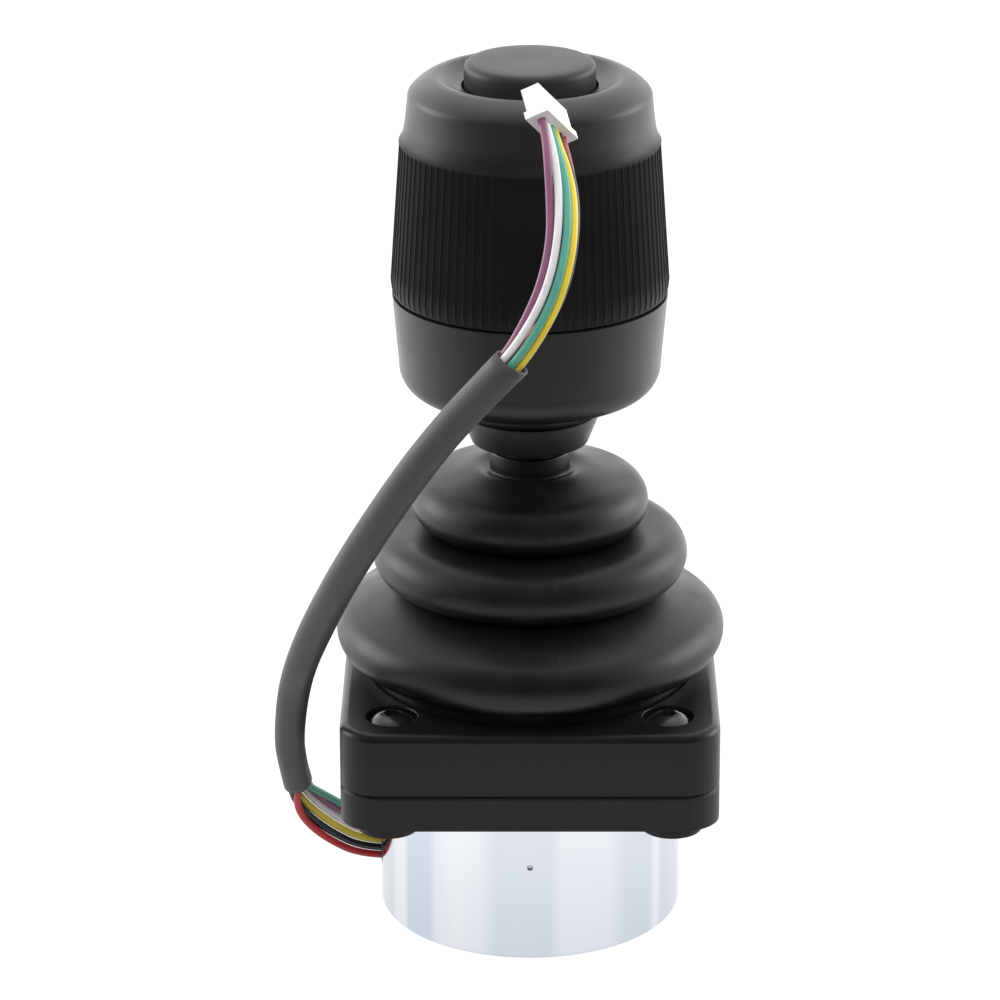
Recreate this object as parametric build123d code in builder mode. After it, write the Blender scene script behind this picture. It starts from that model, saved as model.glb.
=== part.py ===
from build123d import *
import math
import os

# Industrial hand joystick: a square flange and bezel on a metal can, a folded rubber boot,
# a sprung two-axis gimbal inside, and a twist grip with a push button on top.
# Millimetres, +Z up along the stick, -Y to the front, origin at the middle of the can's base.

# Fits and gaps
press_gap = 0.01
run_gap = 0.04
slide_gap = 0.3
clamp_gap = 0.05

# Can and what stands in it
can_margin = 5.6
can_height = 25.1
can_wall = 0.8
can_edge_r = 0.9
can_socket_depth = 2.4
vent_r = 0.5
vent_z = 16.2
spacer_width = 3.2
board_thick = 1.6
chip_side = 5.0
chip_height = 1.2
sensor_gap = 1.6

# Square flange, bezel and their fasteners
flange_side = 60.0
flange_corner_r = 6.3
flange_thick = 5.7
seam_chamfer = 0.35
boss_r = 4.8
boss_drop = 2.5
bolt_inset = 7.5
mount_hole_r = 1.65
mount_hole_depth = 4.0
bezel_thick = 10.6
bezel_edge_r = 1.3
bezel_rim = 3.8
screw_r = 1.95
screw_depth = 3.2
head_r = 3.5
head_height = 2.3
head_dome = 1.5
head_pocket_r = 4.0
head_pocket_depth = 1.6
pocket_wall = 0.6
socket_flats = 2.5
socket_depth = 1.2

# Gimbal housing and gimbal
housing_wall = 2.8
lip_width = 1.6
lip_thick = 1.8
pin_r = 1.5
bush_wall = 0.85
ring_width = 2.8
ring_height = 9.0
block_wall = 2.8
block_height = 10.5
spring_wire_r = 0.22
spring_coil_r = 3.0
spring_turns = 2.5
spring_gap = 0.15
tang_r = 0.2
tang_depth = 1.8

# Stick
shaft_r = 5.0
shaft_bore_r = 2.0
tail_r = 4.0
tail_length = 14.0
nut_flats = 13.0
nut_height = 4.5
holder_r = 5.0
holder_grip = 3.0
holder_web = 1.0
magnet_r = 3.0
magnet_height = 2.8

# Boot: three folds, each a round lip, above the bezel
boot_wall = 1.5
bead_thick = 2.2
fold_lead = 0.8
fold_lip_r = (4.58, 4.44, 4.33)
fold_overhang = 1.24
fold_step = (0.0, 5.99, 12.25)
fold_rise = (7.0, 19.67, 28.63)
fold_top_angle = (64.4, 88.0, 78.0)
valley_set_in = (0.65, 0.6)
valley_drop = (4.6, 4.4)
neck_r = 6.4
neck_rise = 34.8
neck_height = 3.6
neck_dip = 1.2
neck_shoulder = 2.2
shaft_show = 1.5

# Knob: collar, skirt, twist grip and button
collar_foot_r = 9.3
collar_top_r = 10.9
collar_cone = 4.15
collar_height = 4.9
neck_gap = 3.4
hub_neck_r = 10.0
hub_r = 8.0
hub_height = 35.3
shoulder_r = 9.4
shoulder_thick = 4.0
skirt_tuck = 4.7
skirt_taper = 1.0
skirt_set_in = 0.3
skirt_height = 16.3
skirt_round = 4.8
skirt_floor = 2.4
skirt_ledge_width = 2.3
skirt_rim_wall = 2.2
ledge_drop = 4.1
twist_board_width = 3.0
twist_board_thick = 1.2
twist_chip_side = 2.4
twist_chip_height = 1.0
grip_seam = 0.4
grip_foot_tuck = 0.5
grip_bulge_rise = 2.1
rib_top_r = 20.45
rib_taper = 1.55
rib_top_rise = 24.4
rib_count = 90
flute_width = 0.85
flute_depth = 0.5
flute_foot = 1.6
shoulder_step = 0.35
shoulder_set_in = 0.75
grip_shoulder_rise = 29.9
edge_set_in = 0.15
edge_round = 1.9
crest_set_in = 4.7
grip_height = 34.1
dish_drop = 1.2
dish_curve_r = 4.0
grip_wall = 3.1
roof_set_in = 1.2
grip_top_wall = 5.6
tube_wall = 2.5
bush_height = 8.1
bush_thick = 1.95
magnet_ring_width = 3.0
magnet_ring_height = 3.0
magnet_ring_rise = 0.8
clip_thick = 0.8
clip_width = 2.0
clip_opening = 5.0
clip_groove_depth = 0.67
twist_wire_r = 0.45
twist_tang_r = 0.4
twist_coil_r = 11.2
twist_coil_height = 6.0
twist_turns = 3

# Push button and its switch
button_r = 10.25
button_proud = 3.1
button_height = 9.1
button_cap_thick = 2.5
button_wall = 1.65
button_edge_r = 0.9
button_travel = 1.5
button_gap = 0.35
well_depth = 7.0
well_floor = 2.0
stem_r = 3.5
stem_gap = 0.5
stem_reach = 2.2
e_clip_r = 5.6
e_clip_groove_r = 2.6
button_wire_r = 0.4
button_coil_r = 6.0
button_turns = 4
switch_board_r = 7.6
switch_board_thick = 1.2
switch_side = 7.0
switch_height = 2.8
plunger_r = 1.6
plunger_depth = 1.1

# Harness: six wires, the sleeve over them and the connector at their end
wire_r = 0.6
sleeve_r = 2.5
sleeve_wall = 0.4
exit_z = 10.5
grommet_r = 4.4
wire_bore_gap = 0.05
wire_start = 1.5
bend_share = 0.45
connector_pitch = 1.5
connector_thick = 2.8
connector_length = 5.0
connector_margin = 1.5
connector_lip = 0.4
connector_lip_length = 1.2
connector_entry = 2.0
contact_slot = 0.9
wire_names = ("purple", "white", "green", "yellow", "black", "red")

# Heights worked out from the sizes above
flange_top = can_height + flange_thick
bezel_top = flange_top + bezel_thick
pivot_z = can_height + flange_thick / 2
block_top = pivot_z + block_height / 2
block_foot = pivot_z - block_height / 2
tail_z = pivot_z - tail_length
magnet_z = tail_z - holder_web - magnet_height
board_top = magnet_z - sensor_gap - chip_height
board_z = board_top - board_thick
lip_top = flange_top + lip_thick
neck_z = bezel_top + neck_rise
neck_top = neck_z - neck_dip + neck_height
collar_z = neck_top + shaft_show
collar_top = collar_z + collar_height
skirt_z = collar_top + neck_gap
skirt_top = skirt_z + skirt_height
floor_top = skirt_z + skirt_floor
hub_top = collar_top + hub_height
ledge_z = skirt_top - ledge_drop
grip_z = skirt_top + grip_seam
crest_z = grip_z + grip_height
well_z = crest_z - dish_drop - well_depth
ledge_foot = well_z - well_floor
clip_groove_z = hub_top - 2 * clip_thick - clamp_gap
bush_top = clip_groove_z - slide_gap
bush_z = bush_top - bush_height
shoulder_top = bush_z - slide_gap
shaft_top = shoulder_top + shoulder_thick / 2
button_top = crest_z + button_proud
button_foot = button_top - button_height
cap_under = button_top - button_cap_thick
stem_foot = ledge_foot - stem_reach
switch_board_top = hub_top + switch_board_thick
switch_top = switch_board_top + switch_height

# Radii and spacings worked out from the sizes above
can_r = flange_side / 2 - can_margin
bolt_spacing = flange_side - 2 * bolt_inset
bezel_bore_r = flange_side / 2 - bezel_rim
screw_spacing = math.sqrt(2) * (bezel_bore_r + pocket_wall + head_pocket_r)
lip_r = bezel_bore_r + lip_width
can_inner_r = can_r - can_wall
housing_r = can_inner_r - slide_gap
housing_inner_r = housing_r - housing_wall
board_r = housing_inner_r - slide_gap
block_r = tail_r + block_wall
ring_inner_r = (block_r + housing_inner_r - ring_width) / 2
ring_r = ring_inner_r + ring_width
bush_r = pin_r + run_gap + bush_wall
boot_base_r = bezel_bore_r - slide_gap
fold_r = [flange_side / 2 + fold_overhang - step for step in fold_step]
shaft_hole_r = shaft_r + press_gap
bush_bore_r = hub_r + run_gap
tube_r = bush_bore_r + bush_thick
well_r = button_r + button_gap
grip_bulge_r = rib_top_r + rib_taper
grip_foot_r = grip_bulge_r - grip_foot_tuck
grip_shoulder_r = rib_top_r - shoulder_set_in
grip_edge_r = grip_shoulder_r - edge_set_in
crest_r = grip_shoulder_r - crest_set_in
grip_inner_r = grip_foot_r - grip_wall
skirt_rim_r = grip_bulge_r - skirt_set_in
skirt_turn_r = skirt_rim_r - skirt_taper
skirt_foot_r = skirt_turn_r - skirt_tuck
skirt_wall_r = skirt_rim_r - skirt_rim_wall
skirt_ledge_r = skirt_wall_r - skirt_ledge_width
tang_hole_r = spring_wire_r + clamp_gap
clip_groove_r = hub_r - clip_groove_depth


# Cord route: the harness's middle line, from inside the grommet, through the sleeve, to the connector
exit_points = [
    Vector(wire_start - can_r, 0.0, exit_z),
    Vector(-27.0, 0.0, exit_z),
    Vector(-31.6, -1.0, 13.4),
    Vector(-35.0, -2.8, 17.0),
    Vector(-36.9, -4.7, 20.2),
]
sleeve_points = [
    Vector(-37.6, -6.5, 23.2),
    Vector(-38.3, -9.5, 28.1),
    Vector(-38.6, -13.0, 34.1),
    Vector(-37.3, -20.0, 45.4),
    Vector(-35.0, -27.5, 54.7),
    Vector(-31.4, -35.0, 64.8),
    Vector(-27.3, -43.0, 75.0),
    Vector(-20.3, -50.5, 88.7),
    Vector(-14.6, -55.0, 98.3),
    Vector(-8.7, -58.5, 106.6),
    Vector(-2.6, -60.5, 113.8),
]
free_points = [
    Vector(1.2, -61.0, 119.6),
    Vector(3.9, -60.5, 125.5),
    Vector(5.2, -58.5, 131.7),
    Vector(5.3, -55.2, 137.0),
    Vector(4.6, -52.2, 141.1),
    Vector(3.6, -49.2, 144.0),
    Vector(2.7, -46.6, 146.5),
]
route = exit_points + sleeve_points + free_points

# The wires leave the can in a row, curl up into a ring inside the sleeve and open into the connector's row.
# At each point of the route: the row's radius of curl, its turn about the route and the wires' spacing.
row_flat = 400.0
bundle_r = 1.43
row_turn_exit = -188.0
row_turn_mouth = -26.0
ring_spacing = 2 * math.pi * bundle_r / len(wire_names)
sleeve_runs = len(sleeve_points) - 1
sleeve_twist = (row_turn_mouth - row_turn_exit) / sleeve_runs
row_curl = [row_flat, row_flat, 9.0, 3.6, 2.0]
row_curl += [bundle_r] * len(sleeve_points)
row_curl += [1.75, 2.0, 2.0, 2.8, 7.0, row_flat, row_flat]
row_turn = [row_turn_exit] * len(exit_points)
row_turn += [row_turn_exit + sleeve_twist * i for i in range(len(sleeve_points))]
row_turn += [row_turn_mouth] * 3 + [-20.0, -8.0, 0.0, 0.0]
row_spacing = [1.27] * len(exit_points)
row_spacing += [ring_spacing] * len(sleeve_points)
row_spacing += [1.4, 1.36, 1.36, 1.36, 1.4, connector_pitch, connector_pitch]

# From the top, the row leaves the can in another order than the connector's: inside the sleeve two wires move
# up one place each while the one that passes them runs through the middle of the ring
exit_places = (1, 2, 0, 3, 4, 5)
passing_wire = 2
moved_share = [0.0] * len(exit_points)
moved_share += [0.0, 0.0, 0.0, 0.0, 0.25, 0.5, 0.75, 1.0, 1.0, 1.0, 1.0]
moved_share += [1.0] * len(free_points)
middle_share = [0.0] * len(exit_points)
middle_share += [0.0, 0.5, 1.0, 1.0, 1.0, 1.0, 1.0, 1.0, 1.0, 0.5, 0.0]
middle_share += [0.0] * len(free_points)

# The connector's axes: along its row of wires, and the way it is pushed into its socket
connector_push = (route[-1] - route[-2]).normalized()
connector_row = Vector(0.41, 0.66, -0.63)
connector_row = (connector_row - connector_push * connector_row.dot(connector_push)).normalized()
connector_face = Plane(origin=route[-1], x_dir=connector_row, z_dir=connector_push)


def directions(points):
    """Unit direction of each run of a polyline."""
    return [(b - a).normalized() for a, b in zip(points, points[1:])]


def carried_frames():
    """Side axis of each run, carried back from the connector's row without twist."""
    runs = directions(route)
    sides = [connector_row]
    for ahead, here in zip(reversed(runs), reversed(runs[:-1])):
        axis = ahead.cross(here)
        turn = ahead.get_angle(here)
        sides.insert(0, sides[0].rotate(Axis((0, 0, 0), axis), turn))
    return sides


def row_place(number, i):
    """Place of one wire across the route at point i: along the curled row, and up from the row's middle."""
    curl = row_curl[i]
    step = row_spacing[i] / curl
    last = len(wire_names) - 1
    place = exit_places[number] + (number - exit_places[number]) * moved_share[i]
    if number == passing_wire:
        place = exit_places[number] if moved_share[i] < 0.5 else number
    angle = (place - last / 2) * step
    mean_rise = sum(curl * (1 - math.cos((n - last / 2) * step)) for n in range(last + 1)) / (last + 1)
    along = curl * math.sin(angle)
    rise = curl * (1 - math.cos(angle)) - mean_rise
    if number == passing_wire:
        along *= 1 - middle_share[i]
        rise *= 1 - middle_share[i]
    turn = math.radians(row_turn[i])
    return (
        along * math.cos(turn) - rise * math.sin(turn),
        along * math.sin(turn) + rise * math.cos(turn),
    )


def wire_points(number):
    """Centre points of one wire, mitred at each corner of the route."""
    runs = directions(route)
    sides = carried_frames()
    points = []
    for i, middle in enumerate(route):
        here = min(i, len(runs) - 1)
        before = runs[max(here - 1, 0)] if i < len(runs) else runs[here]
        after = runs[here]
        side = sides[here]
        up = after.cross(side)
        along, rise = row_place(number, i)
        spread = side * along + up * rise
        mitre = spread.dot(before) / (1 + before.dot(after))
        points.append(middle + spread - after * mitre)
    return points


def bend_radii(points):
    """Largest arc at each corner of a polyline that its two runs leave room for."""
    radii = []
    for a, b, c in zip(points, points[1:], points[2:]):
        turn = math.radians((b - a).get_angle(c - b))
        shorter = min((b - a).length, (c - b).length)
        radii.append(bend_share * shorter / math.tan(turn / 2))
    return radii


# Drawn metal can, with the hole for the harness in its left side
with BuildPart() as can_housing:
    Cylinder(can_r, can_height + can_socket_depth, align=(Align.CENTER, Align.CENTER, Align.MIN))
    fillet(can_housing.edges().group_by(Axis.Z)[0], can_edge_r)
    with Locations((0, 0, can_wall)):
        Cylinder(can_inner_r, can_height + can_socket_depth,
                 align=(Align.CENTER, Align.CENTER, Align.MIN), mode=Mode.SUBTRACT)
    with BuildSketch(Plane.YZ):
        with Locations((0, exit_z)):
            Circle(grommet_r + press_gap)
    extrude(amount=-2 * can_r, mode=Mode.SUBTRACT)
    with BuildSketch(Plane.XZ):
        with Locations((0, vent_z)):
            Circle(vent_r)
    extrude(amount=2 * can_r, mode=Mode.SUBTRACT)

# Spacer ring that lifts the sensor board off the can's floor
with BuildPart() as board_spacer:
    with BuildSketch(Plane.XY.offset(can_wall)):
        Circle(board_r)
        Circle(board_r - spacer_width, mode=Mode.SUBTRACT)
    extrude(amount=board_z - can_wall)

with BuildPart() as sensor_board:
    with BuildSketch(Plane.XY.offset(board_z)):
        Circle(board_r)
    extrude(amount=board_thick)

with BuildPart() as hall_sensor:
    with BuildSketch(Plane.XY.offset(board_top)):
        Rectangle(chip_side, chip_side)
    extrude(amount=chip_height)
    chamfer(hall_sensor.edges().group_by(Axis.Z)[-1], seam_chamfer)

# Housing that carries the gimbal: a tube that stands in the can, clamped by its lip under the boot
with BuildPart() as gimbal_housing:
    with BuildSketch(Plane.XZ):
        with BuildLine():
            Polyline(
                (housing_inner_r, can_wall),
                (housing_r, can_wall),
                (housing_r, flange_top),
                (lip_r, flange_top),
                (lip_r, lip_top),
                (housing_inner_r, lip_top),
                close=True,
            )
        make_face()
    revolve(axis=Axis.Z)
    with BuildSketch(Plane.YZ):
        with Locations((0, pivot_z)):
            Circle(bush_r + press_gap)
    extrude(amount=2 * housing_r, both=True, mode=Mode.SUBTRACT)
    with BuildSketch(Plane.YZ):
        with Locations((0, exit_z)):
            Circle(grommet_r + press_gap)
    extrude(amount=-2 * housing_r, mode=Mode.SUBTRACT)
    with BuildSketch(Plane.YZ):
        with Locations((0, pivot_z + spring_coil_r)):
            Circle(tang_hole_r)
    extrude(amount=housing_inner_r + tang_depth + press_gap, mode=Mode.SUBTRACT)

# Square flange with four bosses, tapped from below for the panel bolts
with BuildPart() as mounting_flange:
    with BuildSketch(Plane.XY.offset(can_height)):
        RectangleRounded(flange_side, flange_side, flange_corner_r)
    extrude(amount=flange_thick)
    chamfer(mounting_flange.edges().group_by(Axis.Z)[-1], seam_chamfer)
    with BuildSketch(Plane.XY.offset(can_height)):
        with GridLocations(bolt_spacing, bolt_spacing, 2, 2):
            Circle(boss_r)
    extrude(amount=-boss_drop)
    with BuildSketch(Plane.XY.offset(flange_top)):
        Circle(housing_r + press_gap)
    extrude(amount=-2 * flange_thick, mode=Mode.SUBTRACT)
    with BuildSketch(Plane.XY.offset(can_height - boss_drop)):
        Circle(can_r + press_gap)
    extrude(amount=boss_drop + can_socket_depth + press_gap, mode=Mode.SUBTRACT)
    with BuildSketch(Plane.XY.offset(can_height - boss_drop)):
        with GridLocations(bolt_spacing, bolt_spacing, 2, 2):
            Circle(mount_hole_r)
    extrude(amount=mount_hole_depth, mode=Mode.SUBTRACT)
    with BuildSketch(Plane.XY.offset(flange_top)):
        with GridLocations(screw_spacing, screw_spacing, 2, 2):
            Circle(screw_r + clamp_gap)
    extrude(amount=-screw_depth - clamp_gap, mode=Mode.SUBTRACT)

# Bezel that clamps the boot's bead and the housing's lip
with BuildPart() as bezel:
    with BuildSketch(Plane.XY.offset(flange_top)):
        RectangleRounded(flange_side, flange_side, flange_corner_r)
    extrude(amount=bezel_thick)
    fillet(bezel.edges().group_by(Axis.Z)[-1], bezel_edge_r)
    chamfer(bezel.edges().group_by(Axis.Z)[0], seam_chamfer)
    with BuildSketch(Plane.XY.offset(flange_top)):
        Circle(bezel_bore_r)
    extrude(amount=2 * bezel_thick, mode=Mode.SUBTRACT)
    with BuildSketch(Plane.XY.offset(flange_top)):
        Circle(lip_r + slide_gap)
    extrude(amount=lip_thick + bead_thick + clamp_gap, mode=Mode.SUBTRACT)
    with BuildSketch(Plane.XY.offset(flange_top)):
        with GridLocations(screw_spacing, screw_spacing, 2, 2):
            Circle(screw_r + slide_gap)
    extrude(amount=bezel_thick, mode=Mode.SUBTRACT)
    with BuildSketch(Plane.XY.offset(bezel_top)):
        with GridLocations(screw_spacing, screw_spacing, 2, 2):
            Circle(head_pocket_r)
    extrude(amount=-head_pocket_depth, mode=Mode.SUBTRACT)
    fillet(bezel.edges().filter_by(GeomType.CIRCLE).group_by(Axis.Z)[-1], 0.4 * pocket_wall)

# One button-head socket screw, set four times through the bezel into the flange
seat_z = bezel_top - head_pocket_depth
head_top = seat_z + head_height
dome_r = (head_r**2 + head_dome**2) / (2 * head_dome)
dome_start = math.degrees(math.acos(head_r / dome_r))
with BuildPart() as one_screw:
    with BuildSketch(Plane.XZ):
        with BuildLine():
            Polyline(
                (0, head_top),
                (0, flange_top - screw_depth),
                (screw_r, flange_top - screw_depth),
                (screw_r, seat_z),
                (head_r, seat_z),
                (head_r, head_top - head_dome),
            )
            CenterArc((0, head_top - dome_r), dome_r, dome_start, 90 - dome_start)
        make_face()
    revolve(axis=Axis.Z)
    with BuildSketch(Plane.XY.offset(head_top)):
        RegularPolygon(socket_flats / 2, 6, major_radius=False)
    extrude(amount=-socket_depth, mode=Mode.SUBTRACT)

with BuildPart() as bezel_screws:
    with GridLocations(screw_spacing, screw_spacing, 2, 2):
        add(one_screw.part)

# Bushes for the front-to-back tilt, pressed into the housing on its left and right
with BuildPart() as housing_bushes:
    with BuildSketch(Plane.YZ.offset(housing_inner_r)):
        with Locations((0, pivot_z)):
            Circle(bush_r)
            Circle(pin_r + run_gap, mode=Mode.SUBTRACT)
    extrude(amount=housing_wall - slide_gap)
    mirror(about=Plane.YZ)

# Gimbal ring between the two pairs of pins
with BuildPart() as gimbal_ring:
    with BuildSketch(Plane.XY.offset(pivot_z - ring_height / 2)):
        Circle(ring_r)
        Circle(ring_inner_r, mode=Mode.SUBTRACT)
    extrude(amount=ring_height)
    chamfer(gimbal_ring.edges().filter_by(GeomType.CIRCLE), seam_chamfer)
    with BuildSketch(Plane.YZ):
        with Locations((0, pivot_z)):
            Circle(pin_r + press_gap)
    extrude(amount=2 * ring_r, both=True, mode=Mode.SUBTRACT)
    with BuildSketch(Plane.XZ):
        with Locations((0, pivot_z)):
            Circle(bush_r + press_gap)
    extrude(amount=2 * ring_r, both=True, mode=Mode.SUBTRACT)
    with BuildSketch(Plane.YZ.offset(ring_r - tang_depth - press_gap)):
        with Locations((0, pivot_z - spring_coil_r)):
            Circle(tang_hole_r)
    extrude(amount=2 * tang_depth, mode=Mode.SUBTRACT)
    with BuildSketch(Plane.XZ.offset(ring_inner_r - tang_depth)):
        with Locations((0, pivot_z + spring_coil_r)):
            Circle(tang_hole_r)
    extrude(amount=2 * tang_depth, mode=Mode.SUBTRACT)

with BuildPart() as ring_pins:
    with BuildSketch(Plane.YZ.offset(ring_inner_r + slide_gap)):
        with Locations((0, pivot_z)):
            Circle(pin_r)
    extrude(amount=housing_r - slide_gap - ring_inner_r - slide_gap)
    mirror(about=Plane.YZ)

with BuildPart() as ring_bushes:
    with BuildSketch(Plane.XZ.offset(ring_inner_r)):
        with Locations((0, pivot_z)):
            Circle(bush_r)
            Circle(pin_r + run_gap, mode=Mode.SUBTRACT)
    extrude(amount=ring_width - slide_gap)
    mirror(about=Plane.XZ)

# Block at the middle of the gimbal, bored for the stick's tail
with BuildPart() as pivot_block:
    with BuildSketch(Plane.XY.offset(block_foot)):
        Circle(block_r)
        Circle(tail_r + press_gap, mode=Mode.SUBTRACT)
    extrude(amount=block_height)
    chamfer(pivot_block.edges().group_by(Axis.Z)[-1], seam_chamfer)
    with BuildSketch(Plane.XZ):
        with Locations((0, pivot_z)):
            Circle(pin_r + press_gap)
    extrude(amount=2 * block_r, both=True, mode=Mode.SUBTRACT)
    with BuildSketch(Plane.XZ.offset(block_r - tang_depth)):
        with Locations((0, pivot_z - spring_coil_r)):
            Circle(tang_hole_r)
    extrude(amount=2 * tang_depth, mode=Mode.SUBTRACT)

with BuildPart() as block_pins:
    with BuildSketch(Plane.XZ.offset(tail_r + slide_gap)):
        with Locations((0, pivot_z)):
            Circle(pin_r)
    extrude(amount=ring_r - slide_gap - tail_r - slide_gap)
    mirror(about=Plane.XZ)


def torsion_spring(inner_r, outer_r):
    """Coil along +Z between two round walls, with a straight tang at each end to reach its holes."""
    room = outer_r - inner_r
    curve = outer_r - math.sqrt(outer_r**2 - (spring_coil_r + spring_wire_r) ** 2)
    start = spring_wire_r + spring_gap
    length = room - curve - 2 * start
    tang_start = start + tang_depth - clamp_gap
    tang_end = room - start - length + tang_depth - clamp_gap
    with BuildPart() as spring:
        with BuildLine() as coil:
            Helix(length / spring_turns, length, spring_coil_r, center=(0, 0, start))
        with BuildSketch(Plane(origin=coil.line @ 0, z_dir=coil.line % 0)):
            Circle(spring_wire_r)
        sweep()
        with BuildSketch(Plane(origin=coil.line @ 0, z_dir=(0, 0, -1))):
            Circle(tang_r)
        extrude(amount=tang_start)
        with BuildSketch(Plane(origin=coil.line @ 1)):
            Circle(tang_r)
        extrude(amount=tang_end)
    return spring.part


# Return spring of the front-to-back tilt, on the right-hand pin between ring and housing
with BuildPart() as return_spring_x:
    with Locations(Plane(origin=(ring_r, 0, pivot_z), x_dir=(0, 0, -1), z_dir=(1, 0, 0))):
        add(torsion_spring(ring_r, housing_inner_r))

# Return spring of the side-to-side tilt, on the front pin between block and ring
with BuildPart() as return_spring_y:
    with Locations(Plane(origin=(0, -block_r, pivot_z), x_dir=(0, 0, -1), z_dir=(0, -1, 0))):
        add(torsion_spring(block_r, ring_inner_r))

# Hollow steel stick: a thin tail through the block, a shoulder on top of it
with BuildPart() as shaft:
    with BuildSketch(Plane.XZ):
        with BuildLine():
            Polyline(
                (shaft_bore_r, tail_z),
                (tail_r, tail_z),
                (tail_r, block_top),
                (shaft_r, block_top),
                (shaft_r, shaft_top),
                (shaft_bore_r, shaft_top),
                close=True,
            )
        make_face()
    revolve(axis=Axis.Z)

with BuildPart() as shaft_nut:
    with BuildSketch(Plane.XY.offset(block_foot - nut_height)):
        RegularPolygon(nut_flats / 2, 6, major_radius=False)
        Circle(tail_r + press_gap, mode=Mode.SUBTRACT)
    extrude(amount=nut_height)

# Cap on the tail's end that carries the magnet over the sensor
with BuildPart() as magnet_holder:
    with BuildSketch(Plane.XZ):
        with BuildLine():
            Polyline(
                (0, tail_z),
                (tail_r + press_gap, tail_z),
                (tail_r + press_gap, tail_z + holder_grip),
                (holder_r, tail_z + holder_grip),
                (holder_r, magnet_z),
                (magnet_r + press_gap, magnet_z),
                (magnet_r + press_gap, tail_z - holder_web),
                (0, tail_z - holder_web),
                close=True,
            )
        make_face()
    revolve(axis=Axis.Z)

with BuildPart() as stick_magnet:
    with BuildSketch(Plane.XY.offset(magnet_z)):
        Circle(magnet_r)
    extrude(amount=magnet_height)

# Rubber boot: bead under the bezel, three folds and a neck that grips the stick
with BuildPart() as boot:
    with BuildSketch(Plane.XZ):
        with BuildLine():
            start = (boot_base_r, lip_top - 2 * boot_wall)
            for fold, lip in enumerate(fold_lip_r):
                middle_r = fold_r[fold] - lip
                middle_z = bezel_top + fold_rise[fold]
                across = start[0] - middle_r
                lead = max(across, -fold_lead)
                entry_z = middle_z - math.sqrt(lip**2 - lead**2)
                entry_angle = math.degrees(math.atan2(entry_z - middle_z, lead))
                Line(start, (start[0], entry_z))
                if across < -fold_lead:
                    Line((start[0], entry_z), (middle_r - fold_lead, entry_z))
                turn = CenterArc((middle_r, middle_z), lip, entry_angle, fold_top_angle[fold] - entry_angle)
                start = turn @ 1
                if fold < len(valley_set_in):
                    next_r = fold_r[fold + 1] - fold_lip_r[fold + 1]
                    next_z = bezel_top + fold_rise[fold + 1]
                    valley = (next_r - valley_set_in[fold], next_z - valley_drop[fold])
                    Line(start, valley)
                    start = valley
            Polyline(
                start,
                (neck_r + neck_shoulder, neck_z - neck_dip / 4),
                (neck_r, neck_z - neck_dip),
                (neck_r, neck_top),
                (-neck_r, neck_top),
                (-neck_r, lip_top - 2 * boot_wall),
                (boot_base_r, lip_top - 2 * boot_wall),
            )
        make_face()
        offset(amount=-boot_wall, mode=Mode.SUBTRACT)
        with Locations((shaft_hole_r, 0)):
            Rectangle(4 * neck_r, 2 * neck_top, align=(Align.MAX, Align.MIN), mode=Mode.SUBTRACT)
        with Locations((0, lip_top)):
            Rectangle(4 * lip_r, 2 * lip_top, align=(Align.CENTER, Align.MAX), mode=Mode.SUBTRACT)
        with Locations((lip_r, lip_top)):
            Rectangle(lip_r - boot_base_r + boot_wall, bead_thick, align=(Align.MAX, Align.MIN))
    revolve(axis=Axis.Z)

# Tapered collar under the knob
with BuildPart() as knob_collar:
    with BuildSketch(Plane.XZ):
        with BuildLine():
            Polyline(
                (shaft_hole_r, collar_z),
                (collar_foot_r, collar_z),
                (collar_top_r, collar_z + collar_cone),
                (collar_top_r, collar_top),
                (shaft_hole_r, collar_top),
                close=True,
            )
        make_face()
    revolve(axis=Axis.Z)
    foot_edges = knob_collar.edges().filter_by(GeomType.CIRCLE).group_by(Axis.Z)[0]
    fillet(foot_edges.sort_by(SortBy.LENGTH)[-1], seam_chamfer)

# Lower half of the knob: a rounded skirt on a hub that the twist grip turns on
with BuildPart() as knob_base:
    with BuildSketch(Plane.XZ):
        with BuildLine():
            Polyline(
                (shaft_hole_r, collar_top),
                (hub_neck_r, collar_top),
                (hub_neck_r, skirt_z),
                (skirt_foot_r, skirt_z),
            )
            TangentArc((skirt_foot_r, skirt_z), (skirt_turn_r, skirt_z + skirt_round), tangent=(1, 0))
            Polyline(
                (skirt_turn_r, skirt_z + skirt_round),
                (skirt_rim_r, skirt_top),
                (skirt_wall_r, skirt_top),
                (skirt_wall_r, ledge_z),
                (skirt_ledge_r, ledge_z),
                (skirt_ledge_r, skirt_z + skirt_round),
                (skirt_foot_r, floor_top),
                (hub_r, floor_top),
                (hub_r, shoulder_top - shoulder_thick),
                (shoulder_r, shoulder_top - shoulder_thick),
                (shoulder_r, shoulder_top),
                (hub_r, shoulder_top),
                (hub_r, clip_groove_z),
                (clip_groove_r, clip_groove_z),
                (clip_groove_r, clip_groove_z + clip_thick + clamp_gap),
                (hub_r, clip_groove_z + clip_thick + clamp_gap),
                (hub_r, hub_top),
                (shaft_bore_r, hub_top),
                (shaft_bore_r, shaft_top),
                (shaft_hole_r, shaft_top),
                (shaft_hole_r, collar_top),
            )
        make_face()
    revolve(axis=Axis.Z)
    with BuildSketch(Plane.XY.offset(floor_top)):
        with Locations((twist_coil_r, 0)):
            Circle(twist_wire_r + clamp_gap)
    extrude(amount=-skirt_floor / 2, mode=Mode.SUBTRACT)

# Ring-shaped board of the twist sensor, on the ledge inside the skirt
twist_board_r = skirt_wall_r - slide_gap
twist_board_inner_r = twist_board_r - twist_board_width
with BuildPart() as twist_board:
    with BuildSketch(Plane.XY.offset(ledge_z)):
        Circle(twist_board_r)
        Circle(twist_board_inner_r, mode=Mode.SUBTRACT)
    extrude(amount=twist_board_thick)

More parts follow.
